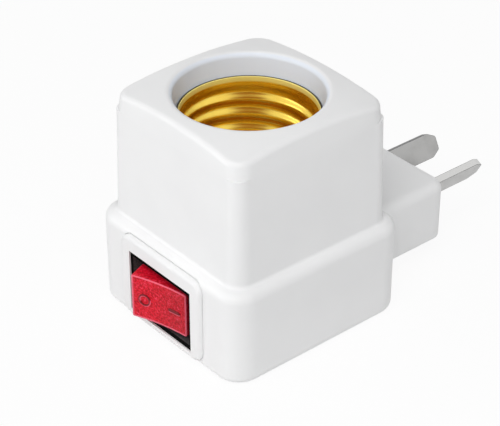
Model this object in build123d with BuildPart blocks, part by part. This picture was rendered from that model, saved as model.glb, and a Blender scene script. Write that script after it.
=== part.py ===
"""A plug-in lamp holder: a screw-shell lamp socket in a square housing that plugs into a wall outlet.

Millimetres. The origin is on the lamp's axis, at the underside. +Z points out of the socket, +Y along
the plug blades, and the rocker switch is on the -Y face.
"""

import os
from math import cos, hypot, radians, sin, sqrt, tan

from build123d import *

os.makedirs("parts", exist_ok=True)

# Base, in two mouldings that meet at the part line
base_side = 43.2
base_height = 20.6
base_corner = 5.3
base_wall = 2.2
ledge_round = 2.0
underside_round = 1.8
part_line = 10.4
cover_floor = 1.8
tongue_wall = 1.0
tongue_height = 1.4

# Head, a drafted square tower; its crown has rounder corners and ends in a shallow dome
head_side = 38.5
head_corner = 3.4
head_draft = 1.6
head_wall = 2.2
foot_blend = 0.7
crown_depth = 4.9
crown_wall = 2.3
crown_corner = 3.9
crown_draft = 5.7
dome_radius = 110.0
ridge_round = 1.2
mouth_radius = 14.43
mouth_lip = 1.2
sleeve_radius = 17.4

# Socket, stacked from the insulating disc up to the mouth
disc_sink = 1.1
shell_skirt = 4.5
thread_land = 2.2
rim_lead = 0.7
rim_sink = 4.8
rim_radius = 13.85
sheet = 0.4
crest_radius = 12.35
root_radius = 13.3
skirt_radius = 12.75
thread_pitch = 3.63
thread_turns = 4
crest_flat = 0.8
root_flat = 0.9
shell_hole = 9.4
disc_thickness = 2.4
disc_radius = 16.8
island_radius = 8.8
island_height = 0.6
ear_radius = 3.0
ear_reach = 13.4
tongue_strip = 6.0
tongue_sheet = 0.5
tongue_rise = 2.4
tongue_root = 6.6
tongue_flat = 2.0
tongue_tip = -3.4
tongue_droop = 1.2
shell_rivet_reach = 10.8
rivet_radius = 1.1
rivet_head = 1.35
rivet_cap = 0.6

# Screws
screw_radius = 1.25
screw_head = 2.2
screw_head_height = 1.6
boss_radius = 2.6
socket_screw_length = 9.0
cover_screw_length = 12.0
cover_screw_depth = 3.0
cover_screws_at = [(-16.3, -16.3), (16.3, 14.0)]

# Plug block and blades
block_width = 27.3
block_low = 4.6
block_high = 17.9
block_end = 41.4
block_wall = 2.2
block_nose = 4.0
block_corner = 3.0
block_edge = 2.0
block_foot = 0.6
flange_lip = 1.1
flange_depth = 1.9
blade_width = 5.4
blade_thickness = 1.5
blade_lean = 28.0
blade_spacing = 12.6
blade_height = 11.3
blade_tip = 58.3
tip_taper = 2.2
tip_cut = 1.2
tip_round = 0.7
shoulder_width = 8.0
shoulder_depth = 2.0
shoulder_seat = 21.6
guide_wall = 1.5
retainer_depth = 1.4
tail_width = 3.2
tail_end = 14.5

# Switch
switch_height = 9.75
opening_width = 18.8
opening_height = 13.7
panel_width = 24.2
panel_low = 1.5
panel_high = 19.6
panel_proud = 0.9
panel_corner = 2.2
panel_round = 0.6
pocket_depth = 1.2
neck_wall = 1.3
neck_reach = 2.2
case_setback = 0.35
case_back = -9.9
case_back_wall = 1.3
case_side_wall = 0.7
case_cheek = 1.0
clip_depth = 3.0
clip_proud = 0.7
clip_height = 5.0
pivot_y = -19.9
pivot_radius = 1.0
pivot_bite = 0.8
rocker_height = 9.7
rocker_tilt = 16.5
tip_half = 6.4
tip_front = 3.95
nose_round = 0.4
dish_depth = 0.5
flank_half = 6.7
flank_front = 0.5
flank_back = 0.5
hub_half = 3.0
hub_back = 1.6
rocker_round = 0.35
stem_width = 3.6
stem_back = 4.7
plunger_radius = 0.85
plunger_round = 0.4
plunger_in_bore = 1.1
bore_depth = 3.2
spring_wire = 0.28
spring_turns = 4
plate_front = -13.4
plate_sheet = 0.5
plate_half = 5.2
plate_height = 4.6
plate_tilt = 6.0
contact_reach = 4.6
contact_radius = 0.9
contact_height = 0.3
terminal_sheet = 0.8
terminal_height = 4.0
terminal_end = -4.5
output_x = -5.0
pad_width = 2.6
pad_shift = 0.45
pad_sheet = 0.4

# Leads
lead_radius = 0.9
lead_bend = 2.7
lead_drop = 4.0
blade_lead_bend_y = 7.0
line_lead_bend_y = 2.0
switched_lead_bend_y = 1.6

# Clearances
fit_gap = 0.05
slot_gap = 0.1
loose_gap = 0.25

# Places worked out from the sizes above
half = base_side / 2
front = -half
back_inside = half - base_wall
ceiling = base_height - base_wall
cavity_side = base_side - 2 * base_wall
cavity_corner = base_corner - base_wall
head_cavity = head_side - 2 * head_wall
tongue_side = cavity_side + 2 * tongue_wall
block_height = block_high - block_low
block_middle = (block_high + block_low) / 2
retainer_width = block_width - 2 * (block_wall + slot_gap)
disc_top = base_height - disc_sink
disc_bottom = disc_top - disc_thickness
thread_start = disc_top + shell_skirt
flank = (thread_pitch - crest_flat - root_flat) / 2
thread_end = thread_start + thread_turns * thread_pitch + crest_flat + flank
rim_height = thread_end + thread_land + rim_lead
overall_height = rim_height + rim_sink
crown_height = overall_height - crown_depth
pocket_top = crown_height - crown_wall
socket_screws_at = [(ear_reach, -ear_reach), (-ear_reach, ear_reach)]
panel_front = front - panel_proud
panel_back = front + pocket_depth
panel_middle = (panel_low + panel_high) / 2
panel_height = panel_high - panel_low
neck_end = panel_back + neck_reach
case_front = panel_front + case_setback
case_width = opening_width - 2 * fit_gap
case_height = opening_height - 2 * fit_gap
case_room = case_width - 2 * case_side_wall
switch_room = case_height - 2 * case_cheek
plate_pivot = plate_front + plate_sheet


def blade_plane(side):
    """The middle plane of the blade on that side: its x runs along the blade, its y up the lean."""
    lean = radians(blade_lean)
    return Plane(
        origin=(side * blade_spacing / 2, 0, blade_height),
        x_dir=(0, 1, 0),
        z_dir=(cos(lean), 0, -side * sin(lean)),
    )


def tilted_plane(centre_y, height, tilt):
    """A level plane whose origin is on a switch pivot and whose x is turned by the tilt."""
    turn = radians(tilt)
    return Plane(origin=(0, centre_y, height), x_dir=(cos(turn), sin(turn), 0), z_dir=(0, 0, 1))


# The dome's centre, from the crest of the mouth's lip, which touches the dome from inside
lip_middle = mouth_radius + mouth_lip
lip_height = overall_height - mouth_lip
dome_centre = lip_height - sqrt((dome_radius - mouth_lip) ** 2 - lip_middle**2)
dome_share = dome_radius / (dome_radius - mouth_lip)
lip_edge = lip_middle * dome_share
lip_edge_height = dome_centre + (lip_height - dome_centre) * dome_share
dome_top = dome_centre + dome_radius
dome_edge = dome_centre + sqrt(dome_radius**2 - head_side**2)

# The crown stands on the drafted head, flush with its faces
crown_side = head_side - 2 * (crown_height - base_height) * tan(radians(head_draft))
throat_radius = rim_radius + slot_gap

# Housing: ledge, head, crown, dome and mouth, then the inside
with BuildPart() as lamp_housing:
    with BuildSketch(Plane.XY.offset(base_height)):
        RectangleRounded(head_side, head_side, head_corner)
    extrude(amount=crown_height - base_height, taper=head_draft)
    with BuildSketch(Plane.XY.offset(crown_height)):
        RectangleRounded(crown_side, crown_side, crown_corner)
    extrude(amount=dome_top - crown_height, taper=crown_draft)
    with BuildSketch(Plane.XZ):
        with BuildLine():
            RadiusArc((0, dome_top), (head_side, dome_edge), dome_radius)
            Polyline((head_side, dome_edge), (head_side, 0), (0, 0), (0, dome_top))
        make_face()
    revolve(axis=Axis.Z, mode=Mode.INTERSECT)
    dome = lamp_housing.faces().sort_by(Axis.Z)[-1]
    fillet([edge for edge in dome.edges() if hypot(*tuple(edge.center())[:2]) > mouth_radius], ridge_round)
    with BuildSketch(Plane.XY.offset(part_line)):
        RectangleRounded(base_side, base_side, base_corner)
    extrude(amount=base_height - part_line)
    ledge = lamp_housing.faces().filter_by(Axis.Z).filter_by_position(Axis.Z, base_height, base_height)[0]
    foot = ledge.inner_wires()[0].edges()
    fillet(ledge.outer_wire().edges(), ledge_round)
    fillet(foot, foot_blend)
    with BuildSketch(Plane.XZ):
        with BuildLine():
            Polyline((0, disc_top), (throat_radius, disc_top), (throat_radius, rim_height),
                     (mouth_radius, lip_height))
            RadiusArc((mouth_radius, lip_height), (lip_middle, overall_height), mouth_lip)
            RadiusArc((lip_middle, overall_height), (lip_edge, lip_edge_height), mouth_lip)
            Polyline((lip_edge, lip_edge_height), (lip_edge, dome_top),
                     (0, dome_top), (0, disc_top))
        make_face()
    revolve(axis=Axis.Z, mode=Mode.SUBTRACT)
    with BuildSketch(Plane.XY.offset(part_line)):
        RectangleRounded(cavity_side, cavity_side, cavity_corner)
    extrude(amount=ceiling - part_line, mode=Mode.SUBTRACT)
    with BuildSketch(Plane.XY.offset(part_line)):
        RectangleRounded(tongue_side + 2 * slot_gap, tongue_side + 2 * slot_gap, cavity_corner + tongue_wall)
    extrude(amount=tongue_height + slot_gap, mode=Mode.SUBTRACT)
    with BuildSketch(Plane.XY.offset(ceiling)):
        RectangleRounded(head_cavity, head_cavity, head_corner / 2)
    extrude(amount=disc_top - ceiling, mode=Mode.SUBTRACT)
    with BuildSketch(Plane.XY.offset(disc_top)):
        RectangleRounded(head_cavity, head_cavity, head_corner / 2)
        Circle(sleeve_radius, mode=Mode.SUBTRACT)
    extrude(amount=pocket_top - disc_top, mode=Mode.SUBTRACT)
    with BuildSketch(Plane.XY.offset(disc_top)):
        with Locations(*socket_screws_at):
            Circle(boss_radius)
    extrude(amount=pocket_top - disc_top)
    with BuildSketch(Plane.XY.offset(part_line)):
        with Locations(*cover_screws_at):
            Circle(boss_radius)
    extrude(amount=ceiling - part_line)
    with BuildSketch(Plane.XY.offset(disc_top)):
        with Locations(*socket_screws_at):
            Circle(screw_radius + fit_gap)
    extrude(amount=socket_screw_length, mode=Mode.SUBTRACT)
    with BuildSketch(Plane.XY.offset(part_line)):
        with Locations(*cover_screws_at):
            Circle(screw_radius + fit_gap)
    extrude(amount=cover_screw_length + cover_screw_depth + slot_gap - part_line, mode=Mode.SUBTRACT)
    with BuildSketch(Plane.XZ.offset(-back_inside)):
        with Locations((0, block_middle)):
            Rectangle(block_width + 2 * slot_gap, block_height + 2 * slot_gap)
    extrude(amount=-2 * base_wall, mode=Mode.SUBTRACT)
    with BuildSketch(Plane.XZ.offset(-panel_back)):
        with Locations((0, panel_middle)):
            RectangleRounded(panel_width + 2 * fit_gap, panel_height + 2 * fit_gap, panel_corner + fit_gap)
    extrude(amount=2 * pocket_depth, mode=Mode.SUBTRACT)
    with BuildSketch(Plane.XZ.offset(-neck_end)):
        with Locations((0, switch_height)):
            Rectangle(opening_width + 2 * (neck_wall + slot_gap), opening_height + 2 * (neck_wall + slot_gap))
    extrude(amount=neck_reach + pocket_depth, mode=Mode.SUBTRACT)
lamp_housing.part.label = "lamp_housing"
export_step(lamp_housing.part, "parts/lamp_housing.step")

# Cover: a tray with a tongue round its rim and a pillar for each screw
with BuildPart() as base_cover:
    with BuildSketch():
        RectangleRounded(base_side, base_side, base_corner)
    extrude(amount=part_line)
    fillet(base_cover.faces().sort_by(Axis.Z)[0].edges(), underside_round)
    with BuildSketch(Plane.XY.offset(part_line)):
        RectangleRounded(tongue_side, tongue_side, cavity_corner + tongue_wall)
    extrude(amount=tongue_height)
    with BuildSketch(Plane.XY.offset(cover_floor)):
        RectangleRounded(cavity_side, cavity_side, cavity_corner)
    extrude(amount=part_line + tongue_height - cover_floor, mode=Mode.SUBTRACT)
    with BuildSketch(Plane.XY.offset(cover_floor)):
        with Locations(*cover_screws_at):
            Circle(boss_radius)
    extrude(amount=part_line - cover_floor)
    with Locations(*[(x, y, 0) for x, y in cover_screws_at]):
        with Locations(Rotation(180, 0, 0)):
            CounterBoreHole(screw_radius + loose_gap, screw_head + loose_gap, cover_screw_depth, part_line)
    with BuildSketch(Plane.XZ.offset(-back_inside)):
        with Locations((0, block_middle)):
            Rectangle(block_width + 2 * slot_gap, block_height + 2 * slot_gap)
    extrude(amount=-2 * base_wall, mode=Mode.SUBTRACT)
    with BuildSketch(Plane.XZ.offset(-panel_back)):
        with Locations((0, panel_middle)):
            RectangleRounded(panel_width + 2 * fit_gap, panel_height + 2 * fit_gap, panel_corner + fit_gap)
    extrude(amount=2 * pocket_depth, mode=Mode.SUBTRACT)
    with BuildSketch(Plane.XZ.offset(-neck_end)):
        with Locations((0, switch_height)):
            Rectangle(opening_width + 2 * (neck_wall + slot_gap), opening_height + 2 * (neck_wall + slot_gap))
    extrude(amount=neck_reach + pocket_depth, mode=Mode.SUBTRACT)
base_cover.part.label = "base_cover"
export_step(base_cover.part, "parts/base_cover.step")

# Plug block: a cored moulding with a guide round each blade and side lips behind the wall
with BuildPart() as plug_block:
    with BuildSketch(Plane.XZ.offset(-back_inside)):
        with Locations((0, block_middle)):
            Rectangle(block_width, block_height)
    extrude(amount=back_inside - block_end)
    fillet(plug_block.edges().filter_by(Axis.Z).sort_by(Axis.Y)[-2:], block_corner)
    fillet(plug_block.faces().sort_by(Axis.Z)[-1].edges().sort_by(Axis.Y)[1:], block_edge)
    fillet(plug_block.faces().sort_by(Axis.Z)[0].edges().sort_by(Axis.Y)[1:], block_foot)
    with BuildSketch(Plane.XZ.offset(-back_inside)):
        with Locations((0, block_middle)):
            Rectangle(block_width + 2 * flange_lip, block_height)
    extrude(amount=flange_depth)
    with BuildSketch(Plane.XZ.offset(flange_depth - back_inside)):
        with Locations((0, block_middle)):
            Rectangle(block_width - 2 * block_wall, block_height - 2 * block_wall)
    extrude(amount=back_inside - flange_depth + block_nose - block_end, mode=Mode.SUBTRACT)
    for side in (-1, 1):
        with BuildSketch(blade_plane(side)):
            with Locations(((shoulder_seat + block_end - block_nose) / 2, 0)):
                Rectangle(block_end - block_nose - shoulder_seat, blade_width + 2 * guide_wall)
        extrude(amount=blade_thickness / 2 + guide_wall, both=True)
    for side in (-1, 1):
        with BuildSketch(blade_plane(side)):
            with Locations((block_end, 0)):
                Rectangle(2 * (block_end - shoulder_seat) + 2 * slot_gap, blade_width + 2 * fit_gap)
        extrude(amount=blade_thickness / 2 + fit_gap, both=True, mode=Mode.SUBTRACT)
plug_block.part.label = "plug_block"
export_step(plug_block.part, "parts/plug_block.step")

# Blades: solder tail, shoulder and a tapered tip
for side, blade_name in ((1, "line_blade"), (-1, "neutral_blade")):
    with BuildPart() as blade:
        with BuildSketch(blade_plane(side)) as blade_outline:
            with BuildLine():
                Polyline(
                    (tail_end, -tail_width / 2),
                    (shoulder_seat - shoulder_depth, -tail_width / 2),
                    (shoulder_seat - shoulder_depth, -shoulder_width / 2),
                    (shoulder_seat, -shoulder_width / 2),
                    (shoulder_seat, -blade_width / 2),
                    (blade_tip - tip_taper, -blade_width / 2),
                    (blade_tip, tip_cut - blade_width / 2),
                    (blade_tip, blade_width / 2 - tip_cut),
                    (blade_tip - tip_taper, blade_width / 2),
                    (shoulder_seat, blade_width / 2),
                    (shoulder_seat, shoulder_width / 2),
                    (shoulder_seat - shoulder_depth, shoulder_width / 2),
                    (shoulder_seat - shoulder_depth, tail_width / 2),
                    (tail_end, tail_width / 2),
                    close=True,
                )
            make_face()
            fillet(blade_outline.vertices().sort_by(Axis.X)[-4:], tip_round)
        extrude(amount=blade_thickness / 2, both=True)
    blade.part.label = blade_name
    export_step(blade.part, f"parts/{blade_name}.step")

# Retainer: a plate behind the blades' shoulders, with a slot for each tail
with BuildPart() as blade_retainer:
    with BuildSketch(Plane.XZ.offset(shoulder_depth - shoulder_seat)):
        with Locations((0, block_middle)):
            Rectangle(retainer_width, block_height - 2 * (block_wall + slot_gap))
    extrude(amount=retainer_depth)
    for side in (-1, 1):
        with BuildSketch(blade_plane(side)):
            with Locations((shoulder_seat - shoulder_depth, 0)):
                Rectangle(2 * (retainer_depth + slot_gap), tail_width + 2 * slot_gap)
        extrude(amount=blade_thickness / 2 + slot_gap, both=True, mode=Mode.SUBTRACT)
blade_retainer.part.label = "blade_retainer"
export_step(blade_retainer.part, "parts/blade_retainer.step")

# Screw shell: rolled sheet, its turns drawn as equal crests and roots
wave = []
for turn in range(thread_turns + 1):
    crest = thread_start + turn * thread_pitch
    wave += [(crest_radius, crest), (crest_radius, crest + crest_flat)]
    wave += [(root_radius, crest + crest_flat + flank), (root_radius, crest + thread_pitch - flank)]
rim_inner = rim_radius - sheet
inside = [(skirt_radius, disc_top + sheet), (skirt_radius, thread_start - flank)] + wave[:-1]
inside += [(root_radius, rim_height - rim_lead), (rim_inner, rim_height)]
outside = [(r + sheet, z) for r, z in reversed(inside)]
with BuildPart() as screw_shell:
    with BuildSketch(Plane.XZ):
        with BuildLine():
            Polyline((shell_hole, disc_top), (shell_hole, disc_top + sheet), *inside, *outside[:-1],
                     (skirt_radius + sheet, disc_top), close=True)
        make_face()
    revolve(axis=Axis.Z)
    with BuildSketch(Plane.XY.offset(disc_top)):
        with Locations((shell_rivet_reach, 0), (-shell_rivet_reach, 0)):
            Circle(rivet_radius + fit_gap)
    extrude(amount=sheet, mode=Mode.SUBTRACT)
screw_shell.part.label = "screw_shell"
export_step(screw_shell.part, "parts/screw_shell.step")

# Socket base: an insulating disc with an island under the centre contact and two ears for its screws
with BuildPart() as socket_base:
    with BuildSketch(Plane.XY.offset(disc_bottom)):
        Circle(disc_radius)
        with Locations(*socket_screws_at):
            Circle(ear_radius)
    extrude(amount=disc_thickness)
    with BuildSketch(Plane.XY.offset(disc_top)):
        Circle(island_radius)
    extrude(amount=island_height)
    with BuildSketch(Plane.XY.offset(disc_bottom)):
        with Locations(*socket_screws_at):
            Circle(screw_radius + loose_gap)
    extrude(amount=disc_thickness, mode=Mode.SUBTRACT)
    with BuildSketch(Plane.XY.offset(disc_bottom)):
        with Locations((shell_rivet_reach, 0), (-shell_rivet_reach, 0), (0, tongue_root)):
            Circle(rivet_radius + fit_gap)
    extrude(amount=disc_thickness + island_height, mode=Mode.SUBTRACT)
socket_base.part.label = "socket_base"
export_step(socket_base.part, "parts/socket_base.step")

# Centre contact: a tongue that rises from its rivet to the lamp's tip
island_top = disc_top + island_height
tongue_foot = tongue_root - rivet_head - loose_gap
with BuildPart() as centre_contact:
    with BuildSketch(Plane.YZ) as tongue_profile:
        with BuildLine():
            Polyline(
                (tongue_root + rivet_head, island_top),
                (tongue_foot, island_top),
                (tongue_flat / 2, island_top + tongue_rise),
                (-tongue_flat / 2, island_top + tongue_rise),
                (tongue_tip, island_top + tongue_rise - tongue_droop),
                (tongue_tip, island_top + tongue_rise - tongue_droop + tongue_sheet),
                (-tongue_flat / 2, island_top + tongue_rise + tongue_sheet),
                (tongue_flat / 2, island_top + tongue_rise + tongue_sheet),
                (tongue_foot, island_top + tongue_sheet),
                (tongue_root + rivet_head, island_top + tongue_sheet),
                close=True,
            )
        make_face()
    extrude(amount=tongue_strip / 2, both=True)
    fillet(centre_contact.edges().filter_by(Axis.Z).sort_by(Axis.Y)[-2:], rivet_head)
    with BuildSketch(Plane.XY.offset(island_top)):
        with Locations((0, tongue_root)):
            Circle(rivet_radius + fit_gap)
    extrude(amount=tongue_sheet, mode=Mode.SUBTRACT)
centre_contact.part.label = "centre_contact"
export_step(centre_contact.part, "parts/centre_contact.step")

# Rivets: a shank through the disc, a head on what it holds and a head under the disc
with BuildPart() as contact_rivet:
    with BuildSketch(Plane.XY.offset(disc_bottom - rivet_cap)):
        with Locations((0, tongue_root)):
            Circle(rivet_head)
    extrude(amount=rivet_cap)
    with BuildSketch(Plane.XY.offset(disc_bottom)):
        with Locations((0, tongue_root)):
            Circle(rivet_radius)
    extrude(amount=island_top + tongue_sheet - disc_bottom)
    with BuildSketch(Plane.XY.offset(island_top + tongue_sheet)):
        with Locations((0, tongue_root)):
            Circle(rivet_head)
    extrude(amount=rivet_cap)
contact_rivet.part.label = "contact_rivet"
export_step(contact_rivet.part, "parts/contact_rivet.step")

with BuildPart() as shell_rivets:
    with BuildSketch(Plane.XY.offset(disc_bottom - rivet_cap)):
        with Locations((shell_rivet_reach, 0), (-shell_rivet_reach, 0)):
            Circle(rivet_head)
    extrude(amount=rivet_cap)
    with BuildSketch(Plane.XY.offset(disc_bottom)):
        with Locations((shell_rivet_reach, 0), (-shell_rivet_reach, 0)):
            Circle(rivet_radius)
    extrude(amount=disc_thickness + sheet)
    with BuildSketch(Plane.XY.offset(disc_top + sheet)):
        with Locations((shell_rivet_reach, 0), (-shell_rivet_reach, 0)):
            Circle(rivet_head)
    extrude(amount=rivet_cap)
shell_rivets.part.label = "shell_rivets"
export_step(shell_rivets.part, "parts/shell_rivets.step")

# Screws, driven from below
with BuildPart() as socket_screws:
    with BuildSketch(Plane.XY.offset(disc_bottom - screw_head_height)):
        with Locations(*socket_screws_at):
            Circle(screw_head)
    extrude(amount=screw_head_height)
    with BuildSketch(Plane.XY.offset(disc_bottom)):
        with Locations(*socket_screws_at):
            Circle(screw_radius)
    extrude(amount=socket_screw_length)
socket_screws.part.label = "socket_screws"
export_step(socket_screws.part, "parts/socket_screws.step")

with BuildPart() as cover_screws:
    with BuildSketch(Plane.XY.offset(cover_screw_depth - screw_head_height)):
        with Locations(*cover_screws_at):
            Circle(screw_head)
    extrude(amount=screw_head_height)
    with BuildSketch(Plane.XY.offset(cover_screw_depth)):
        with Locations(*cover_screws_at):
            Circle(screw_radius)
    extrude(amount=cover_screw_length)
cover_screws.part.label = "cover_screws"
export_step(cover_screws.part, "parts/cover_screws.step")

# Switch frame: the raised panel and the neck that passes through the wall
with BuildPart() as switch_frame:
    with BuildSketch(Plane.XZ.offset(-panel_back)):
        with Locations((0, panel_middle)):
            RectangleRounded(panel_width, panel_height, panel_corner)
    extrude(amount=panel_back - panel_front)
    fillet(switch_frame.faces().sort_by(Axis.Y)[0].edges(), panel_round)
    with BuildSketch(Plane.XZ.offset(-neck_end)):
        with Locations((0, switch_height)):
            Rectangle(opening_width + 2 * neck_wall, opening_height + 2 * neck_wall)
    extrude(amount=neck_reach)
    with BuildSketch(Plane.XZ.offset(-neck_end)):
        with Locations((0, switch_height)):
            Rectangle(opening_width, opening_height)
    extrude(amount=neck_end - panel_front, mode=Mode.SUBTRACT)
switch_frame.part.label = "switch_frame"
export_step(switch_frame.part, "parts/switch_frame.step")

# Switch case: an open box with pivot holes, side clips and a slot for each terminal
with BuildPart() as switch_case:
    with BuildSketch(Plane.XZ.offset(-case_back)):
        with Locations((0, switch_height)):
            Rectangle(case_width, case_height)
    extrude(amount=case_back - case_front)
    with BuildSketch(Plane.XZ.offset(case_back_wall - case_back)):
        with Locations((0, switch_height)):
            Rectangle(case_room, switch_room)
    extrude(amount=case_back - case_back_wall - case_front, mode=Mode.SUBTRACT)
    with BuildSketch(Plane.XY.offset(switch_height - clip_height / 2)):
        with BuildLine():
            Polyline((case_width / 2, neck_end + fit_gap), (case_width / 2 + clip_proud, neck_end + fit_gap),
                     (case_width / 2, neck_end + clip_depth), close=True)
        make_face()
        mirror(about=Plane.YZ)
    extrude(amount=clip_height)
    with BuildSketch(Plane.XY.offset(switch_height)):
        with Locations((0, pivot_y)):
            Circle(pivot_radius + fit_gap)
    extrude(amount=case_height, both=True, mode=Mode.SUBTRACT)
    with BuildSketch(Plane.XZ.offset(-case_back)):
        with Locations((0, switch_height), (output_x, switch_height)):
            Rectangle(terminal_sheet + 2 * fit_gap, terminal_height + 2 * fit_gap)
    extrude(amount=case_back_wall, mode=Mode.SUBTRACT)
switch_case.part.label = "switch_case"
export_step(switch_case.part, "parts/switch_case.step")

# Rocker: dished face between two tips, drawn level and turned to the stop it rests on
rocker_plane = tilted_plane(pivot_y, switch_height, rocker_tilt)
stem_plane = Plane(
    origin=rocker_plane.from_local_coords((0, stem_back, 0)),
    x_dir=rocker_plane.x_dir,
    z_dir=rocker_plane.y_dir,
)
with BuildPart() as rocker:
    with BuildSketch(rocker_plane) as rocker_outline:
        with BuildLine():
            ThreePointArc((-tip_half, -tip_front), (0, dish_depth - tip_front), (tip_half, -tip_front))
            Polyline(
                (tip_half, -tip_front),
                (flank_half, -flank_front),
                (flank_half, flank_back),
                (hub_half, hub_back),
                (-hub_half, hub_back),
                (-flank_half, flank_back),
                (-flank_half, -flank_front),
                (-tip_half, -tip_front),
            )
        make_face()
        fillet(rocker_outline.vertices().sort_by(Axis.Y)[:2], nose_round)
    extrude(amount=rocker_height / 2, both=True)
    fillet(rocker.faces().filter_by(GeomType.CYLINDER).edges().filter_by(GeomType.CIRCLE), rocker_round)
    with BuildSketch(rocker_plane):
        Circle(pivot_radius)
    extrude(amount=switch_room / 2 + pivot_bite, both=True)
    with BuildSketch(rocker_plane):
        with Locations((0, stem_back / 2)):
            Rectangle(stem_width, stem_back)
    extrude(amount=stem_width / 2, both=True)
    with BuildSketch(stem_plane):
        Circle(plunger_radius + slot_gap)
    extrude(amount=-bore_depth, mode=Mode.SUBTRACT)
rocker.part.label = "rocker"
export_step(rocker.part, "parts/rocker.step")

# Plunger and spring in the rocker's stem
plunger_tip = plate_front - pivot_y - slot_gap
plunger_length = plunger_tip - stem_back + plunger_in_bore
plunger_plane = Plane(
    origin=rocker_plane.from_local_coords((0, plunger_tip, 0)),
    x_dir=rocker_plane.x_dir,
    z_dir=rocker_plane.y_dir,
)
with BuildPart() as rocker_plunger:
    with BuildSketch(plunger_plane):
        Circle(plunger_radius)
    extrude(amount=-plunger_length)
    fillet(rocker_plunger.faces().sort_by(Axis.Y)[-1].edges(), plunger_round)
rocker_plunger.part.label = "rocker_plunger"
export_step(rocker_plunger.part, "parts/rocker_plunger.step")

spring_length = bore_depth - plunger_in_bore - spring_wire - 2 * fit_gap
spring_plane = Plane(
    origin=rocker_plane.from_local_coords((0, stem_back - bore_depth + spring_wire / 2 + fit_gap, 0)),
    x_dir=rocker_plane.x_dir,
    z_dir=rocker_plane.y_dir,
)
spring_middle = plunger_radius - spring_wire / 2
with BuildPart() as rocker_spring:
    with BuildLine() as coil:
        Helix(
            spring_length / spring_turns,
            spring_length,
            spring_middle,
            center=spring_plane.origin,
            direction=spring_plane.z_dir,
        )
    with BuildSketch(Plane(origin=coil.line @ 0, z_dir=coil.line % 0)):
        Circle(spring_wire / 2)
    sweep(path=coil.line, is_frenet=True)
rocker_spring.part.label = "rocker_spring"
export_step(rocker_spring.part, "parts/rocker_spring.step")

# Contact plate that tips on the centre terminal's edge, closed on the output terminal at rest
plate_plane = tilted_plane(plate_pivot, switch_height, -plate_tilt)
with BuildPart() as seesaw_contact:
    with BuildSketch(plate_plane):
        with Locations((0, -plate_sheet / 2)):
            Rectangle(2 * plate_half, plate_sheet)
        with Locations((-contact_reach, contact_height / 2)):
            Rectangle(2 * contact_radius, contact_height)
    extrude(amount=plate_height / 2, both=True)
seesaw_contact.part.label = "seesaw_contact"
export_step(seesaw_contact.part, "parts/seesaw_contact.step")

with BuildPart() as common_terminal:
    with BuildSketch(Plane.XY.offset(switch_height)):
        with BuildLine():
            Polyline(
                (0, plate_pivot + fit_gap),
                (terminal_sheet / 2, plate_pivot + fit_gap + terminal_sheet / 2),
                (terminal_sheet / 2, terminal_end),
                (-terminal_sheet / 2, terminal_end),
                (-terminal_sheet / 2, plate_pivot + fit_gap + terminal_sheet / 2),
                close=True,
            )
        make_face()
    extrude(amount=terminal_height / 2, both=True)
common_terminal.part.label = "common_terminal"
export_step(common_terminal.part, "parts/common_terminal.step")

pad_reach = contact_reach + contact_radius
pad_front = plate_pivot + pad_reach * sin(radians(plate_tilt)) + contact_height + slot_gap
with BuildPart() as output_terminal:
    with BuildSketch(Plane.XY.offset(switch_height)):
        with Locations((output_x + pad_shift, pad_front + pad_sheet / 2)):
            Rectangle(pad_width, pad_sheet)
        with Locations((output_x, (pad_front + terminal_end) / 2)):
            Rectangle(terminal_sheet, terminal_end - pad_front)
    extrude(amount=terminal_height / 2, both=True)
output_terminal.part.label = "output_terminal"
export_step(output_terminal.part, "parts/output_terminal.step")

# Leads, each from joint to joint
blade_x = blade_spacing / 2
rivet_foot = disc_bottom - rivet_cap - fit_gap
lead_rise = rivet_foot - lead_drop
routes = {
    "line_lead": [
        (blade_x, tail_end - fit_gap, blade_height),
        (blade_x, blade_lead_bend_y, blade_height),
        (0, line_lead_bend_y, switch_height),
        (0, terminal_end + fit_gap, switch_height),
    ],
    "switched_lead": [
        (output_x, terminal_end + fit_gap, switch_height),
        (output_x, switched_lead_bend_y, switch_height),
        (0, tongue_root, lead_rise),
        (0, tongue_root, rivet_foot),
    ],
    "neutral_lead": [
        (-blade_x, tail_end - fit_gap, blade_height),
        (-blade_x, blade_lead_bend_y, blade_height),
        (-shell_rivet_reach, 0, lead_rise),
        (-shell_rivet_reach, 0, rivet_foot),
    ],
}
for lead_name, route in routes.items():
    with BuildPart() as lead:
        with BuildLine() as path:
            FilletPolyline(*route, radius=lead_bend)
        with BuildSketch(Plane(origin=path.line @ 0, z_dir=path.line % 0)):
            Circle(lead_radius)
        sweep(path=path.line)
    lead.part.label = lead_name
    export_step(lead.part, f"parts/{lead_name}.step")
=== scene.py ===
import math

import bmesh
import bpy
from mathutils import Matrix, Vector


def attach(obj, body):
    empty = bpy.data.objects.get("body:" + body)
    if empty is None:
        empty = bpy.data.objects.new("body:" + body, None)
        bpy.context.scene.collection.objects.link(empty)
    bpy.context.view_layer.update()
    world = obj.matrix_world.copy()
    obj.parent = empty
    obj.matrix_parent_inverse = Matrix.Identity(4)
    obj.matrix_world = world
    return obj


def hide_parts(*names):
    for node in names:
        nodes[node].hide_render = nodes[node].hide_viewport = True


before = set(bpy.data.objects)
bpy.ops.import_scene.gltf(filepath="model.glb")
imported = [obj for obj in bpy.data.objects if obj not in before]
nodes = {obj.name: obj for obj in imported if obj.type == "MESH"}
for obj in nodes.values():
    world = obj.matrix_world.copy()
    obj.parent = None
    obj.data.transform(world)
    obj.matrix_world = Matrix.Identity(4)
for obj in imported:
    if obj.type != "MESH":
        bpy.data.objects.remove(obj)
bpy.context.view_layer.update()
scene = bpy.context.scene
mm = 0.001
rockerTilt = math.radians(16.5)
print("frame loaded with", len(nodes), "nodes")

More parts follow.
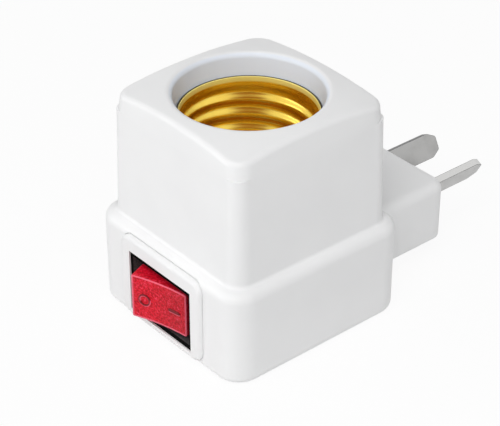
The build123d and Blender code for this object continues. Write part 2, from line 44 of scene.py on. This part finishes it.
# Camera, placed round the lamp holder's axis as in the photograph
cameraView = {
    "azimuth": 49.92,  # degrees, from the switch's side towards the blades
    "elevation": 33.06,
    "distance": 0.33586,
    "aim": (0.00008, 0.00009, 0.02049),
    "lens": 123.9,
    "nearest": 0.01,
}


def towards(azimuth, elevation):  # unit vector from the object to a place on the sky
    a, e = math.radians(azimuth), math.radians(elevation)
    return Vector((math.sin(a) * math.cos(e), -math.cos(a) * math.cos(e), math.sin(e)))


def makeCamera(view):
    data = bpy.data.cameras.new("camera")
    data.lens = view["lens"]
    data.clip_start = view["nearest"]
    camera = bpy.data.objects.new("camera", data)
    scene.collection.objects.link(camera)
    away = towards(view["azimuth"], view["elevation"])
    camera.location = Vector(view["aim"]) + away * view["distance"]
    camera.rotation_euler = away.to_track_quat("Z", "Y").to_euler()
    scene.camera = camera


makeCamera(cameraView)
scene.view_settings.view_transform = "Standard"
print("camera set")


class Link:  # a node's output that can be used in sums
    def __init__(self, finish, socket):
        self.finish, self.socket = finish, socket

    def sum(self, operation, *values):
        return self.finish.node("ShaderNodeMath", {"operation": operation}, dict(enumerate(values)))

    def __add__(self, other):
        return self.sum("ADD", self, other)

    def __sub__(self, other):
        return self.sum("SUBTRACT", self, other)

    def __rsub__(self, other):
        return self.sum("SUBTRACT", other, self)

    def __mul__(self, other):
        return self.sum("MULTIPLY", self, other)

    def __abs__(self):
        return self.sum("ABSOLUTE", self)

    def orMore(self, other):  # the larger of the two
        return self.sum("MAXIMUM", self, other)

    __radd__ = __add__
    __rmul__ = __mul__


class Finish:  # a material, or the sky, that is built up node by node
    def __init__(self, name, owner=None):
        self.owner = owner or bpy.data.materials.new(name)
        self.owner.use_nodes = True
        self.tree = self.owner.node_tree
        self.tree.nodes.clear()

    def node(self, kind, settings, sockets, output=0):
        made = self.tree.nodes.new(kind)
        for key, value in settings.items():
            setattr(made, key, value)
        for key, value in sockets.items():
            if isinstance(value, Link):
                self.tree.links.new(value.socket, made.inputs[key])
            elif made.inputs[key].type == "RGBA":
                made.inputs[key].default_value = (*value, 1)
            else:
                made.inputs[key].default_value = value
        return Link(self, made.outputs[output]) if made.outputs else None

    def place(self, squeeze=(1, 1, 1)):  # metres in the object's own frame, squeezed along each axis
        where = self.node("ShaderNodeTexCoord", {}, {}, "Object")
        return self.node("ShaderNodeMapping", {}, {"Vector": where, "Scale": squeeze})

    def along(self, axis):  # metres along one axis
        return self.node("ShaderNodeSeparateXYZ", {}, {0: self.place()}, axis)

    def reach(self):  # metres from the upright axis
        return self.node("ShaderNodeVectorMath", {"operation": "LENGTH"}, {0: self.place((1, 1, 0))}, "Value")

    def noise(self, where, scale, detail=2, rough=0.5):
        return self.node("ShaderNodeTexNoise", {}, {"Vector": where, "Scale": scale, "Detail": detail,
                                                    "Roughness": rough}, "Fac")

    def between(self, value, low, high, start=0, end=1):  # value from low..high, brought to start..end
        return self.node("ShaderNodeMapRange", {"clamp": True, "interpolation_type": "SMOOTHSTEP"},
                         {"Value": value, "From Min": low, "From Max": high, "To Min": start, "To Max": end})

    def mixed(self, share, under, over, blend="MIX"):
        return self.node("ShaderNodeMix", {"data_type": "RGBA", "blend_type": blend},
                         {0: share, 6: under, 7: over}, 2)

    def normals(self, edge):  # the surface's own normal, and the one rounded over its edges
        plain = self.node("ShaderNodeNewGeometry", {}, {}, "Normal")
        return plain, self.node("ShaderNodeBevel", {"samples": 6}, {"Radius": edge})

    def softened(self, edge, share=1.0):  # rounded normals, where the share is one
        plain, rounded = self.normals(edge)
        return self.node("ShaderNodeMix", {"data_type": "VECTOR"}, {0: share, 4: plain, 5: rounded}, 1)

    def alike(self, first, second):
        return self.node("ShaderNodeVectorMath", {"operation": "DOT_PRODUCT"}, {0: first, 1: second}, "Value")

    def facing(self, way):  # how far the surface faces one way, in the object's own frame
        return self.alike(self.node("ShaderNodeTexCoord", {}, {}, "Normal"), way)

    def surface(self, bump, depth, normal=None, **sockets):
        ports = {"Strength": 1.0, "Distance": depth, "Height": bump}
        if normal:
            ports["Normal"] = normal
        sockets["Normal"] = self.node("ShaderNodeBump", {}, ports)
        names = {key.replace("_", " "): value for key, value in sockets.items()}
        shader = self.node("ShaderNodeBsdfPrincipled", {}, names)
        self.node("ShaderNodeOutputMaterial", {}, {"Surface": shader})
        return self.owner


# White mouldings: satin, with a fine moulded skin and a faint unevenness in tone
moulding = {
    "cloudScale": 55,
    "cloudDetail": 3,
    "cloud": (0.35, 0.65),
    "skinScale": 5200,
    "skinRough": 0.6,
    "skinDepth": 0.000010,
    "flowScale": 130,
    "flowSqueeze": (1, 1, 0.25),
    "flowShare": 1.5,
    "flow": (0.3, 0.7),
    "rough": (0.34, 0.46),
    "gloss": 0.45,
    "sharpFade": 0.001,
    "boreRadius": 0.0147,
    "boreFade": 0.0006,
}
whiteTones = {"tone": (0.85, 0.852, 0.855), "shadeTone": (0.83, 0.832, 0.836)}
whites = {
    "whiteHousing": {
        **whiteTones, "softEdge": 0.00035, "sharpBelow": 0.0108,
        "boreTone": (0.78, 0.83, 0.912),  # evens out the warm light that the shell throws on the bore
    },
    "whiteCover": {**whiteTones, "softEdge": 0.00035, "sharpBelow": 0.0108},
    "whiteFrame": {
        **whiteTones, "softEdge": 0.0009,
        "window": {"halfWidth": 0.0105, "halfHeight": 0.008, "middle": 0.01055, "fade": 0.0003},
    },
    "whiteBlock": {"tone": (0.84, 0.842, 0.845), "shadeTone": (0.82, 0.822, 0.826), "softEdge": 0.0005},
    "whiteInner": {"tone": (0.78, 0.77, 0.74), "shadeTone": (0.74, 0.73, 0.70), "softEdge": 0.0002},
}


def whiteMoulding(name, tone, shadeTone, softEdge, sharpBelow=None, boreTone=None, window=None):
    m = moulding
    finish = Finish(name)
    where = finish.place()
    soft = 1.0
    if sharpBelow:  # edges low on the piece stay sharp
        soft = finish.between(finish.along("Z"), sharpBelow, sharpBelow + m["sharpFade"])
    if window:  # the edges round the window stay sharp
        beside = abs(finish.along("X")) - window["halfWidth"]
        above = abs(finish.along("Z") - window["middle"]) - window["halfHeight"]
        soft = finish.between(beside.orMore(above), 0, window["fade"])
    cloud = finish.noise(where, m["cloudScale"], m["cloudDetail"])
    skin = finish.noise(where, m["skinScale"], rough=m["skinRough"])
    flow = finish.noise(finish.place(m["flowSqueeze"]), m["flowScale"])
    colour = finish.mixed(finish.between(cloud, *m["cloud"]), shadeTone, tone)
    if boreTone:
        bore = finish.between(finish.reach(), m["boreRadius"], m["boreRadius"] + m["boreFade"], 1, 0)
        colour = finish.mixed(bore, colour, boreTone)
    return finish.surface(
        bump=skin + flow * m["flowShare"],
        depth=m["skinDepth"],
        normal=finish.softened(softEdge, soft),
        Base_Color=colour,
        Roughness=finish.between(flow, *m["flow"], *m["rough"]),
        Specular_IOR_Level=m["gloss"],
    )


white = {name: whiteMoulding(name, **looks) for name, looks in whites.items()}

# Red rocker: mottled matt grain, with a painted highlight where its edges catch the light and painted shade
# towards the end away from the ring
rockerRed = {
    "tone": (0.74, 0.003, 0.020),
    "deepTone": (0.42, 0.002, 0.012),
    "paleTone": (0.82, 0.055, 0.12),
    "edgeHighlightAndShadeTone": (0.92, 0.17, 0.25),
    "shadedEndTone": (0.80, 0.80, 0.80),  # painted shade: the end away from the ring is a little darker
    "far": (-0.002, 0.006),
    "grainScale": 2500,
    "grainDetail": 3,
    "grainRough": 0.65,
    "grainDepth": 0.00005,
    "pits": (0.34, 0.56),
    "specks": (0.56, 0.68),
    "fineScale": 5200,
    "fineShare": 0.3,
    "rough": 0.42,
    "pitRough": 0.15,
    "gloss": 0.22,
    "softEdge": 0.0003,
    "front": (math.sin(rockerTilt), -math.cos(rockerTilt), 0),
    "edgeTurn": (0.90, 0.975),  # how far an edge's rounding faces the front
    "frontTurn": (0.15, 0.5),
    "edgeShare": 0.75,
    "edgeFade": 0.0001,
    "lowEdge": 0.00540,
    "nearEdge": -0.00458,
}


def redMoulding():
    r = rockerRed
    finish = Finish("redRocker")
    where = finish.place()
    grain = finish.noise(where, r["grainScale"], r["grainDetail"], r["grainRough"])
    fine = finish.noise(where, r["fineScale"], 1)
    pits = finish.between(grain, *r["pits"])
    mottled = finish.mixed(finish.between(grain, *r["specks"]),
                           finish.mixed(pits, r["deepTone"], r["tone"]), r["paleTone"])
    # painted shade, darker towards the end away from the ring
    endShaded = finish.mixed(finish.between(finish.along("X"), *r["far"]), mottled,
                          finish.mixed(1.0, mottled, r["shadedEndTone"], "MULTIPLY"))
    facing = finish.facing(r["front"])
    # painted highlight: pale pink on the rounded edges, the bottom edge and the ring's end, where they face the
    # front
    rounded = finish.between(facing, *r["edgeTurn"], 1, 0)
    low = finish.between(finish.along("Z"), r["lowEdge"], r["lowEdge"] + r["edgeFade"], 1, 0)
    near = finish.between(finish.along("X"), r["nearEdge"], r["nearEdge"] + r["edgeFade"], 1, 0)
    wearAndHighlight = finish.between(facing, *r["frontTurn"]) * rounded.orMore(low).orMore(near) * r["edgeShare"]
    return finish.surface(
        bump=pits + fine * r["fineShare"],
        depth=r["grainDepth"],
        normal=finish.softened(r["softEdge"]),
        Base_Color=finish.mixed(wearAndHighlight, endShaded, r["edgeHighlightAndShadeTone"]),
        Roughness=r["rough"] + (1 - pits) * r["pitRough"],
        Specular_IOR_Level=r["gloss"],
    )


# Marks: painted shade on the side towards the light and a painted highlight on the side away from it, so that
# they look pressed in
markRed = {
    "tone": (0.16, 0.002, 0.006),
    "paleTone": (0.86, 0.10, 0.17),
    "highlightWay": (0.45, 0.13, -0.88),
    "pale": (0.0, 0.35),
    "fineScale": 5200,
    "fineDepth": 0.000015,
    "rough": 0.42,
    "fineRough": 0.1,
    "gloss": 0.32,
}


def markMoulding():
    m = markRed
    finish = Finish("redMark")
    fine = finish.noise(finish.place(), m["fineScale"], 1)
    # painted highlight on the sides that face away from the light, painted shade on the rest
    pale = finish.between(finish.facing(m["highlightWay"]), *m["pale"])
    return finish.surface(
        bump=fine,
        depth=m["fineDepth"],
        Base_Color=finish.mixed(pale, m["tone"], m["paleTone"]),
        Roughness=m["rough"] + fine * m["fineRough"],
        Specular_IOR_Level=m["gloss"],
    )


# Black switch case: its front ring is painted near black as the frame's shade, its inner walls catch some light
caseBlack = {
    "frontShadeTone": (0.002, 0.002, 0.002),
    "tone": (0.05, 0.05, 0.051),
    "greyTone": (0.09, 0.09, 0.092),
    "grey": (0.3, 0.7),
    "frontPlace": -0.02213,
    "frontFade": 0.0001,
    "frontRough": 0.3,
    "grainScale": 3500,
    "grainDetail": 3,
    "grainDepth": 0.00003,
    "grainRough": 0.12,
    "rough": 0.40,
    "gloss": 0.03,
    "softEdge": 0.00015,
}


def blackMoulding():
    c = caseBlack
    finish = Finish("blackCase")
    grain = finish.noise(finish.place(), c["grainScale"], c["grainDetail"])
    behind = finish.between(finish.along("Y"), c["frontPlace"], c["frontPlace"] + c["frontFade"])
    walls = finish.mixed(finish.between(grain, *c["grey"]), c["tone"], c["greyTone"])
    return finish.surface(
        bump=grain,
        depth=c["grainDepth"],
        normal=finish.softened(c["softEdge"]),
        # painted shade: the front ring is near black
        Base_Color=finish.mixed(behind, c["frontShadeTone"], walls),
        Roughness=c["rough"] + (1 - behind) * c["frontRough"] + grain * c["grainRough"],
        Specular_IOR_Level=c["gloss"],
    )


# Metals: drawn lines along one axis and a slight tarnish
metal = {
    "lineDetail": 4,
    "lineRough": 0.6,
    "lineDull": 0.10,
    "tarnishScale": 260,
    "tarnishDetail": 4,
    "tarnishRough": 0.6,
    "tarnishDull": 0.08,
    "tarnish": (0.35, 0.75),
    "speckScale": 4200,
    "speckShare": 0.4,
    "upper": (0.6, 0.85),
    "cornerShare": 0.6,
    "corner": (0.90, 0.995),
    "cornerShadeTone": (0.07, 0.07, 0.07),
}
nickel = {"tone": (0.45, 0.448, 0.442), "darkTone": (0.39, 0.388, 0.382), "rough": 0.24,
          "squeeze": (1, 0.04, 1), "lineScale": 5200, "lineDepth": 0.00002, "softEdge": 0.0003}
sheets = {
    "brassPart": {"tone": (0.90, 0.66, 0.26), "darkTone": (0.80, 0.55, 0.20), "rough": 0.18,
                  "squeeze": (1, 0.06, 1), "lineScale": 5200, "lineDepth": 0.000012, "softEdge": 0.0001},
    # the near blade's upward cut edges get a painted highlight, the far blade's get painted shade
    "nickelNear": {**nickel, "upperPaintedLightTone": (0.66, 0.658, 0.65)},
    "nickelFar": {**nickel, "upperPaintedLightTone": (0.03, 0.03, 0.03)},
    "zincSteel": {"tone": (0.62, 0.63, 0.64), "darkTone": (0.50, 0.50, 0.49), "rough": 0.24,
                  "squeeze": (1, 1, 0.2), "lineScale": 4200, "lineDepth": 0.00001, "softEdge": 0.0001},
}


def metalGround(finish, looks):  # drawn lines, tarnished colour and roughness
    lines = finish.noise(finish.place(looks["squeeze"]), looks["lineScale"], metal["lineDetail"],
                         metal["lineRough"])
    tarnish = finish.noise(finish.place(), metal["tarnishScale"], metal["tarnishDetail"], metal["tarnishRough"])
    colour = finish.mixed(finish.between(tarnish, *metal["tarnish"]), looks["tone"], looks["darkTone"])
    return lines, colour, looks["rough"] + lines * metal["lineDull"] + tarnish * metal["tarnishDull"]


def sheetMetal(name, looks):
    finish = Finish(name)
    lines, colour, rough = metalGround(finish, looks)
    if "upperPaintedLightTone" in looks:  # cut edges that look up get a painted highlight on the near blade and painted shade on the far one, and the corners get painted shade
        upper = finish.between(finish.facing((0, 0, 1)), *metal["upper"])
        likeness = finish.alike(*finish.normals(looks["softEdge"] * metal["cornerShare"]))
        corner = finish.between(likeness, *metal["corner"], 1, 0)
        colour = finish.mixed(corner, finish.mixed(upper, colour, looks["upperPaintedLightTone"]), metal["cornerShadeTone"])
    return finish.surface(
        bump=lines + finish.noise(finish.place(), metal["speckScale"]) * metal["speckShare"],
        depth=looks["lineDepth"],
        normal=finish.softened(looks["softEdge"]),
        Base_Color=colour,
        Roughness=rough,
        Metallic=1.0,
    )


sheet = {name: sheetMetal(name, looks) for name, looks in sheets.items()}

# Screw shell: bright brass with painted deeper shade on the downward-facing sheet, a matter rim painted paler
# as a highlight, and painted shade on its cut edge
shellBrass = {
    "tone": (0.96, 0.70, 0.13),
    "darkTone": (0.92, 0.62, 0.10),
    "grooveShadeTone": (0.90, 0.50, 0.05),
    "groove": (-0.5, 0.0),  # how far the sheet looks up
    "rimHighlightTone": (1.0, 0.86, 0.28),
    "rimFrom": 0.0423,
    "rimFade": 0.0004,
    "rimRough": 0.2,
    "rimDull": 0.5,
    "edgeHighlightAndShadeTone": (0.07, 0.05, 0.02),
    "edgeFrom": 0.01345,
    "edgeFade": 0.00005,
    "rough": 0.16,
    "squeeze": (0.05, 0.05, 1),
    "lineScale": 5200,
    "lineDepth": 0.00001,
}


def shellFinish():
    b = shellBrass
    finish = Finish("brassShell")
    # painted highlight: the rim is painted paler and is less metallic
    rim = finish.between(finish.along("Z"), b["rimFrom"], b["rimFrom"] + b["rimFade"])
    # painted shade on the rim's cut edge, beyond 13.45 mm from the axis
    edge = finish.between(finish.reach(), b["edgeFrom"], b["edgeFrom"] + b["edgeFade"])
    lines, colour, rough = metalGround(finish, b)
    # painted shade: sheet that looks down is painted deeper orange
    groove = finish.between(finish.facing((0, 0, 1)), *b["groove"], 1, 0)
    colour = finish.mixed(rim, finish.mixed(groove, colour, b["grooveShadeTone"]), b["rimHighlightTone"])
    return finish.surface(
        bump=lines,
        depth=b["lineDepth"],
        Base_Color=finish.mixed(edge, colour, b["edgeHighlightAndShadeTone"]),
        Roughness=rough + rim * b["rimRough"],
        Metallic=1 - rim * b["rimDull"],
    )


# Lead insulation: soft extruded skin
leads = {
    "darkLead": {"tone": (0.012, 0.012, 0.012), "wearAndHighlight": (0.03, 0.03, 0.03)},
    "paleLead": {"tone": (0.72, 0.72, 0.70), "wearAndHighlight": (0.62, 0.62, 0.60)},
}
leadSkin = {"scale": 1800, "detail": 3, "depth": 0.00002, "rough": 0.42, "skinRough": 0.2}


def insulation(name, tone, wearAndHighlight):
    finish = Finish(name)
    skin = finish.noise(finish.place(), leadSkin["scale"], leadSkin["detail"])
    return finish.surface(bump=skin, depth=leadSkin["depth"], Base_Color=finish.mixed(skin, tone, wearAndHighlight),
                          Roughness=leadSkin["rough"] + skin * leadSkin["skinRough"])


lead = {name: insulation(name, **looks) for name, looks in leads.items()}
redFinish = redMoulding()
markFinish = markMoulding()
blackFinish = blackMoulding()
brassShell = shellFinish()

dress = {
    "lamp_housing": white["whiteHousing"],
    "base_cover": white["whiteCover"],
    "switch_frame": white["whiteFrame"],
    "plug_block": white["whiteBlock"],
    "socket_base": white["whiteInner"],
    "blade_retainer": white["whiteInner"],
    "rocker_plunger": white["whiteInner"],
    "switch_case": blackFinish,
    "rocker": redFinish,
    "line_blade": sheet["nickelNear"],
    "neutral_blade": sheet["nickelFar"],
    "screw_shell": brassShell,
    "centre_contact": sheet["brassPart"],
    "contact_rivet": sheet["brassPart"],
    "shell_rivets": sheet["brassPart"],
    "seesaw_contact": sheet["brassPart"],
    "common_terminal": sheet["brassPart"],
    "output_terminal": sheet["brassPart"],
    "cover_screws": sheet["zincSteel"],
    "socket_screws": sheet["zincSteel"],
    "rocker_spring": sheet["zincSteel"],
    "line_lead": lead["darkLead"],
    "switched_lead": lead["darkLead"],
    "neutral_lead": lead["paleLead"],
}
for nodeName, material in dress.items():
    for materialSlot in nodes[nodeName].material_slots:
        materialSlot.material = material
print("finishes on", len(dress), "nodes")


def joinRows(mesh, rows, closed=True):  # faces between each row of points and the next
    for row, following in zip(rows, rows[1:] + rows[:1] if closed else rows[1:]):
        for j in range(len(row)):
            k = (j + 1) % len(row)
            mesh.faces.new((row[j], row[k], following[k], following[j]))


def addPiece(name, mesh, material, body):
    bmesh.ops.recalc_face_normals(mesh, faces=mesh.faces)
    made = bpy.data.meshes.new(name)
    mesh.to_mesh(made)
    mesh.free()
    made.validate()
    made.materials.append(material)
    made.polygons.foreach_set("use_smooth", [True] * len(made.polygons))
    piece = bpy.data.objects.new(name, made)
    scene.collection.objects.link(piece)
    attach(piece, body)
    return piece


# Rolled shell: one right-handed thread pressed in thin sheet, between a plain skirt and a beaded rim
rolledShell = {
    "floor": 19.5, "skirtRadius": 12.75, "hole": 9.4, "sheet": 0.4,
    "crestRadius": 12.35, "rootRadius": 13.3, "pitch": 3.63, "crestShape": 0.8,
    "threadLow": 23.0, "threadHigh": 40.6, "fadeIn": 1.6, "fadeOut": 1.7,
    "rim": [(40.75, 13.3), (41.0, 13.28), (41.3, 13.24), (41.55, 13.22), (41.8, 13.23), (42.2, 13.27),
            (42.6, 13.31), (43.0, 13.35), (43.3, 13.39), (43.5, 13.42)],  # height, radius
    "around": 192, "upward": 96, "startTurn": 0.35,
}


def smoothStep(low, high, value):
    share = min(max((value - low) / (high - low), 0), 1)
    return share * share * (3 - 2 * share)


def shellRadius(height, turn):
    s = rolledShell
    wave = math.cos(2 * math.pi * (height / s["pitch"] - turn - s["startTurn"]))
    wave = 0.5 + 0.5 * math.copysign(abs(wave) ** s["crestShape"], wave)
    thread = s["rootRadius"] + (s["crestRadius"] - s["rootRadius"]) * wave
    rise = smoothStep(s["threadLow"], s["threadLow"] + s["fadeIn"], height)
    fall = smoothStep(s["threadHigh"] - s["fadeOut"], s["threadHigh"], height)
    radius = s["skirtRadius"] + (thread - s["skirtRadius"]) * rise
    return radius + (s["rootRadius"] - radius) * fall


def shellRing(mesh, height, radiusAt):  # points round one height, where the radius follows the turn
    ring = []
    for step in range(rolledShell["around"]):
        angle = 2 * math.pi * step / rolledShell["around"]
        radius = radiusAt(step / rolledShell["around"])
        x, y = radius * math.cos(angle), radius * math.sin(angle)
        ring.append(mesh.verts.new((x * mm, y * mm, height * mm)))
    return ring


def shellMesh():
    s = rolledShell
    lowest = s["floor"] + s["sheet"]
    span = s["rim"][0][0] - lowest
    mesh = bmesh.new()
    sides = []
    for side in (0, s["sheet"]):  # inner face first, then the outer face
        rings = [shellRing(mesh, s["floor"] if side else lowest, lambda turn: s["hole"])]
        for i in range(s["upward"]):
            height = lowest + span * i / s["upward"]
            rings.append(shellRing(mesh, height, lambda turn: shellRadius(height, turn) + side))
        for height, radius in s["rim"]:
            rings.append(shellRing(mesh, height, lambda turn: radius + side))
        sides.append(rings)
    inner, outer = sides
    joinRows(mesh, inner + outer[::-1])
    return mesh


shell = addPiece("rolled_shell", shellMesh(), brassShell, "holder")
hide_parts("screw_shell")
print("shell rolled")

# Marks raised on the rocker's dished face: a ring at one end and a bar at the other
rockerMarks = {
    "pivotPlace": -19.9, "tipHalf": 6.4, "tipFront": 3.95, "dishDepth": 0.5,
    "height": 9.58, "ringPlace": -3.4, "ringRadius": 1.15, "barPlace": 3.6, "barHalf": 1.5,
    "lineHalf": 0.28, "barLineHalf": 0.5, "proud": 0.2, "sunk": 0.12,
    "section": [(-0.85, 0.45), (-0.45, 0.9), (0, 1), (0.45, 0.9), (0.85, 0.45)],  # shares of half and proud
    "ringSteps": 48, "barSteps": 12, "barPower": 8, "barLeast": 0.02,
}


def onDish(along, height, out):  # a point on the dished face, out from it by so much, in metres
    r = rockerMarks
    radius = (r["tipHalf"] ** 2 + r["dishDepth"] ** 2) / (2 * r["dishDepth"])
    depth = -(r["tipFront"] - r["dishDepth"]) - (radius - math.sqrt(radius ** 2 - along ** 2)) - out
    x = along * math.cos(rockerTilt) - depth * math.sin(rockerTilt)
    y = r["pivotPlace"] + along * math.sin(rockerTilt) + depth * math.cos(rockerTilt)
    return (x * mm, y * mm, height * mm)


def beadMesh(path, half, closed):  # a low rounded bead along places on the dish
    r = rockerMarks
    section = [(share, up * r["proud"]) for share, up in r["section"]]
    section = [(-1.0, -r["sunk"]), *section, (1.0, -r["sunk"])]
    mesh = bmesh.new()
    rows = []
    for (along, height), (sideAlong, sideHeight) in path:
        rows.append([mesh.verts.new(onDish(along + sideAlong * share * half,
                                           height + sideHeight * share * half, out))
                     for share, out in section])
    joinRows(mesh, rows, closed)
    if not closed:
        mesh.faces.new(rows[0])
        mesh.faces.new(rows[-1][::-1])
    return mesh


def ringPath():
    r = rockerMarks
    for step in range(r["ringSteps"]):
        c, s = math.cos(2 * math.pi * step / r["ringSteps"]), math.sin(2 * math.pi * step / r["ringSteps"])
        yield (r["ringPlace"] + r["ringRadius"] * c, r["height"] + r["ringRadius"] * s), (c, s)


def barPath():
    r = rockerMarks
    for step in range(r["barSteps"] + 1):
        share = 2 * step / r["barSteps"] - 1
        taper = math.sqrt(max(1 - abs(share) ** r["barPower"], r["barLeast"]))
        yield (r["barPlace"] + r["barHalf"] * share, r["height"]), (0, taper)


markOff = beadMesh(ringPath(), rockerMarks["lineHalf"], True)
markOn = beadMesh(barPath(), rockerMarks["barLineHalf"], False)
addPiece("mark_off", markOff, markFinish, "switch_rocker")
addPiece("mark_on", markOn, markFinish, "switch_rocker")
print("rocker marked")

# Studio: pale floor that the camera sees as white, two soft lamps, and a white sky with one darker patch
studio = {
    "floorTone": (0.88, 0.88, 0.88),
    "floorSize": 4.0,
    "floorGap": 0.0001,
    "whiteTone": (1.0, 1.0, 1.0),
    "whiteShare": 0.92,
    "sky": 0.29,
    "lamps": {
        "key": {"whence": (-30, 15), "watts": 3.2, "inGloss": True},
        "top": {"whence": (45, 55), "watts": 7.0, "inGloss": False},
    },
    "lampDistance": 1.0,
    "lampSize": 0.9,
    "gapFrom": (52, 40),  # where the light tent is open, and darker in gloss
    "gapInner": 17,
    "gapOuter": 33,
    "gapTone": (0.32, 0.15, 0.03),
}


def cameraWhite(finish):  # one where a ray comes from the camera, or through gloss or glass
    camera, gloss, glass = (finish.node("ShaderNodeLightPath", {}, {}, name)
                            for name in ("Is Camera Ray", "Is Glossy Ray", "Is Transmission Ray"))
    return camera.orMore(gloss).orMore(glass)


def makeFloor():
    half = studio["floorSize"] / 2
    mesh = bpy.data.meshes.new("floor")
    corners = [(-half, -half), (half, -half), (half, half), (-half, half)]
    mesh.from_pydata([(*corner, -studio["floorGap"]) for corner in corners], [], [(0, 1, 2, 3)])
    floor = bpy.data.objects.new("floor", mesh)
    scene.collection.objects.link(floor)
    finish = Finish("floorWhite")
    plain = finish.node("ShaderNodeBsdfDiffuse", {}, {"Color": studio["floorTone"]})
    bright = finish.node("ShaderNodeEmission", {}, {"Color": studio["whiteTone"], "Strength": 1.0})
    share = cameraWhite(finish) * studio["whiteShare"]
    shader = finish.node("ShaderNodeMixShader", {}, {0: share, 1: plain, 2: bright})
    finish.node("ShaderNodeOutputMaterial", {}, {"Surface": shader})
    mesh.materials.append(finish.owner)


def makeSky():
    scene.world = bpy.data.worlds.new("sky")
    sky = Finish("sky", scene.world)
    heading = sky.node("ShaderNodeTexCoord", {}, {}, "Generated")
    apart = sky.alike(heading, towards(*studio["gapFrom"]))
    edges = [math.cos(math.radians(studio[name])) for name in ("gapOuter", "gapInner")]
    glossy = sky.node("ShaderNodeLightPath", {}, {}, "Is Glossy Ray")
    tone = sky.mixed(sky.between(apart, *edges) * glossy, studio["whiteTone"], studio["gapTone"])
    strength = studio["sky"] + cameraWhite(sky) * (1 - studio["sky"])
    light = sky.node("ShaderNodeBackground", {}, {"Color": tone, "Strength": strength})
    sky.node("ShaderNodeOutputWorld", {}, {"Surface": light})


def makeLamp(name, whence, watts, inGloss):
    data = bpy.data.lights.new(name, "AREA")
    data.energy = watts
    data.shape = "DISK"
    data.size = studio["lampSize"]
    lamp = bpy.data.objects.new(name, data)
    scene.collection.objects.link(lamp)
    away = towards(*whence)
    lamp.location = away * studio["lampDistance"]
    lamp.rotation_euler = away.to_track_quat("Z", "Y").to_euler()
    lamp.visible_glossy = inGloss


makeFloor()
makeSky()
for lampName, lampSettings in studio["lamps"].items():
    makeLamp(lampName, **lampSettings)
print("studio lit")
